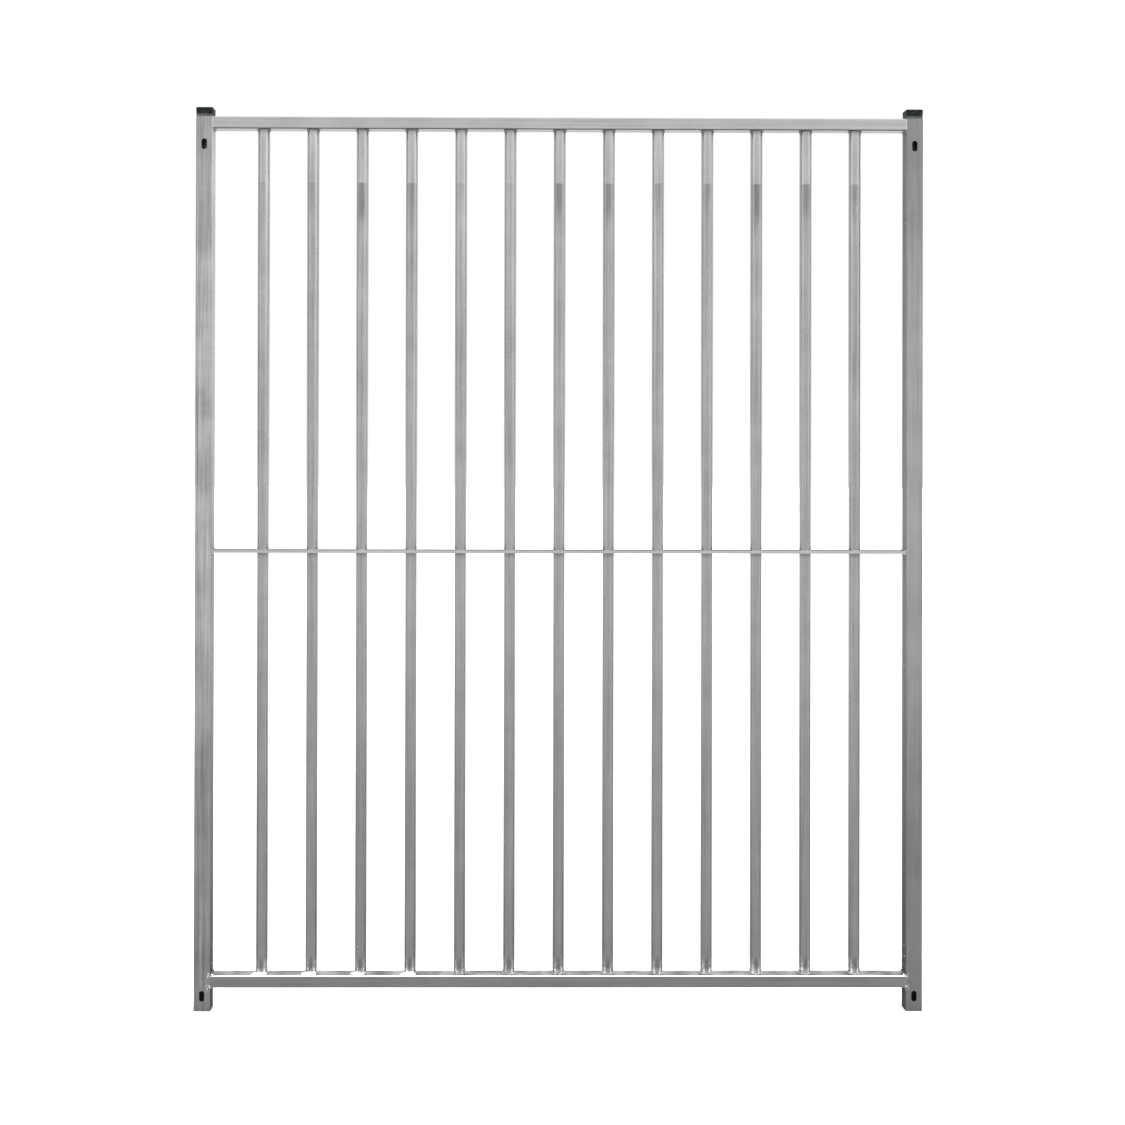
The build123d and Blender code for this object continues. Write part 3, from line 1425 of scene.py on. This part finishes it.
def main() -> None:
    """Set up the studio, dress the frame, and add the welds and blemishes."""
    Studio().build()
    bars = sorted(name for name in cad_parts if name.startswith("bar_"))
    Tubework(bars).dress()

    places = [(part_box(name)[0].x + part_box(name)[1].x) / 2 for name in bars]
    bar_low, bar_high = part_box(bars[0])
    bar_radius = (bar_high.y - bar_low.y) / 2
    mid_low, mid_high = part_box("mid_rail")
    top_low, top_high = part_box("top_rail")
    bottom_low, bottom_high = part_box("bottom_rail")
    bright = WeldZinc("bright_zinc").material()
    dull = WeldZinc(
        "dull_zinc",
        dark=0.10, light=0.17, smooth=0.36, rough=0.50, relief=0.12 * MM, edge_tint=0.5,
    )
    middling = WeldZinc(
        "middling_zinc",
        dark=0.20, light=0.42, smooth=0.30, rough=0.46, relief=0.20 * MM, edge_tint=0.6,
    )
    ground = WeldZinc(
        "zinc_on_ground_welds",
        dark=0.20, light=0.30, smooth=0.36, rough=0.48, relief=0.08 * MM, edge_tint=0.5,
    )
    # A darker copy of the weld zinc, as painted shade for the beads under the top rail.
    shaded = WeldZinc(
        "painted_shade_zinc_under_top_rail",
        dark=0.10, light=0.18, smooth=0.34, rough=0.48, relief=0.12 * MM, edge_tint=0.5,
    )
    dull, middling, ground, shaded = (finish.material() for finish in (dull, middling, ground, shaded))

    beads = BarBeads(bar_radius, places, mid_high.y)
    under_top = Bead(width=1.5 * MM, height=4.0 * MM, upward=-1)
    on_flat = Bead(width=1.4 * MM, height=1.6 * MM, upward=1)
    on_bottom = Bead(width=1.3 * MM, height=4.0 * MM, upward=1)
    beads.build_rings("top_rail_bar_beads", "top_rail_bar_welds", top_low.z, under_top, shaded)
    beads.build_rings("mid_rail_bar_beads", "mid_rail_bar_welds", mid_high.z, on_flat, middling)
    beads.build_rings("bottom_rail_bar_beads", "bottom_rail_bar_welds", bottom_high.z, on_bottom, middling)
    beads.build_splashes("bottom_rail_zinc_splashes", bottom_high.z, SPLASHED_BARS, bright)

    ends = EndBeads(mid_high.x, mid_high.y)
    ends.build_seams(
        "top_rail_end_beads",
        "top_rail_end_welds",
        1.3 * MM,
        [(top_low.z, -1)],
        [(top_low.z + RAIL_CORNER, top_high.z - RAIL_CORNER)],
        ground,
    )
    ends.build_seams(
        "mid_rail_end_beads", "mid_rail_end_welds", 1.8 * MM, [(mid_high.z, 1), (mid_low.z, -1)], [], middling
    )
    ends.build_seams(
        "bottom_rail_end_beads",
        "bottom_rail_end_welds",
        2.6 * MM,
        [(bottom_high.z, 1), (bottom_low.z, -1)],
        [(bottom_low.z + RAIL_CORNER, bottom_high.z - RAIL_CORNER)],
        dull,
    )
    ends.build_lumps("bottom_rail_end_lumps", (bottom_low.z + LUMP_LIFT, bottom_high.z), bright)
    ZincSpatter(bar_radius, places, mid_high.x, bright).build(bottom_high.z, top_low.z)

    post_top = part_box("left_post")[1].z
    plastic = MouldedPlastic("moulded_black", band_top=post_top + CAP_COLLAR).material()
    for name in ("left_cap", "right_cap"):
        dress_node(name, plastic)


if __name__ == "__main__":
    main()
